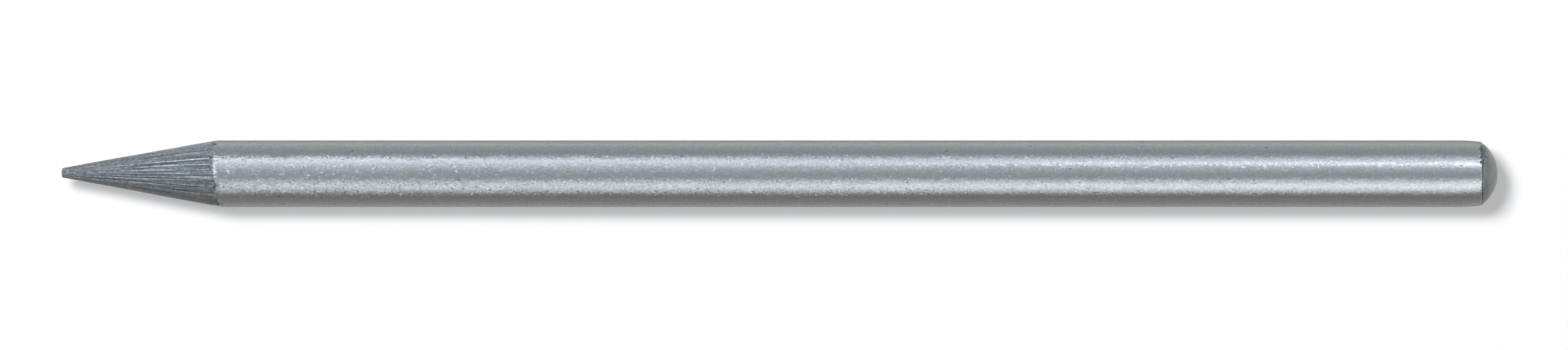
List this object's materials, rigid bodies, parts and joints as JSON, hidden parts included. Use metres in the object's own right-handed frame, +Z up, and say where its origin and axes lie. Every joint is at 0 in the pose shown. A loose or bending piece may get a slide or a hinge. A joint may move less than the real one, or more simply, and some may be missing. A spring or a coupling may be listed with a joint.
{
  "type": "woodless pencil",
  "caption": "Round woodless pencil with a solid coloured core in a silver lacquered jacket, sharpened to a blunt point and domed at the other end.",
  "frame": {"origin": "under the middle of the pencil, on the surface that it lies on", "axes": "+X along the pencil from the point to the domed end, +Z up from the surface that it lies on"},
  "size_m": [0.153, 0.007, 0.0071],
  "materials": {
    "core": "waxy grey pigment core with a faint metallic sheen, scored along the cone by the sharpener",
    "primer": "matt dark primer, seen only at the cut edges",
    "silver_lacquer": "satin silver lacquer with fine metal flake",
    "end_dip": "smooth satin grey dip film"
  },
  "bodies": {
    "root": {"core": "core", "barrel_primer": "primer", "barrel_lacquer": "silver_lacquer", "end_dip": "end_dip"}
  },
  "joints": []
}
